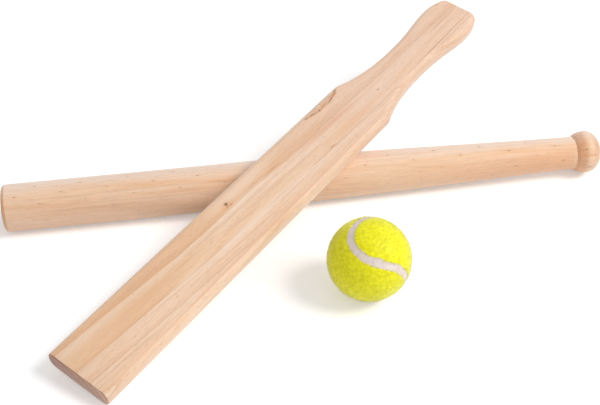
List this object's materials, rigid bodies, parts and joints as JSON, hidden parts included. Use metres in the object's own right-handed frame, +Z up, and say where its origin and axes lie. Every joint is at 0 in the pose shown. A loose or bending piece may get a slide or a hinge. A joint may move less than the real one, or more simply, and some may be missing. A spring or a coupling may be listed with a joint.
{
  "type": "rounders set",
  "caption": "Flat wooden bat laid across a turned round wooden bat, with a felt-covered rubber ball beside them, for playing rounders.",
  "frame": {"origin": "middle of the laid set's box, on the floor that it lies on", "axes": "+X nearly along the round bat, from its barrel's end to its knob; +Z up from the floor; +Y away from the side that the ball lies on"},
  "size_m": [0.509, 0.4256, 0.0878],
  "materials": {
    "pine_board": "planed and sanded, unvarnished",
    "pine_turned": "turned and sanded, unvarnished",
    "yellow_felt": "needled felt with a short nap",
    "seam_cement": "matt cured cement",
    "core_rubber": "moulded rubber"
  },
  "bodies": {
    "round_bat": {"round_bat": "pine_turned"},
    "flat_bat": {"flat_bat": "pine_board"},
    "ball": {"ball_core_half_a": "core_rubber", "ball_core_half_b": "core_rubber", "ball_felt_panel_a": "yellow_felt", "ball_felt_panel_b": "yellow_felt", "ball_seam": "seam_cement"}
  },
  "joints": [
    {"name": "flat_bat_lift", "type": "slide", "parent": "round_bat", "child": "flat_bat", "axis": [0, 0, 1], "range_m": [0, 0.15]},
    {"name": "ball_lift", "type": "slide", "parent": "round_bat", "child": "ball", "axis": [0, 0, 1], "range_m": [0, 0.15]}
  ]
}
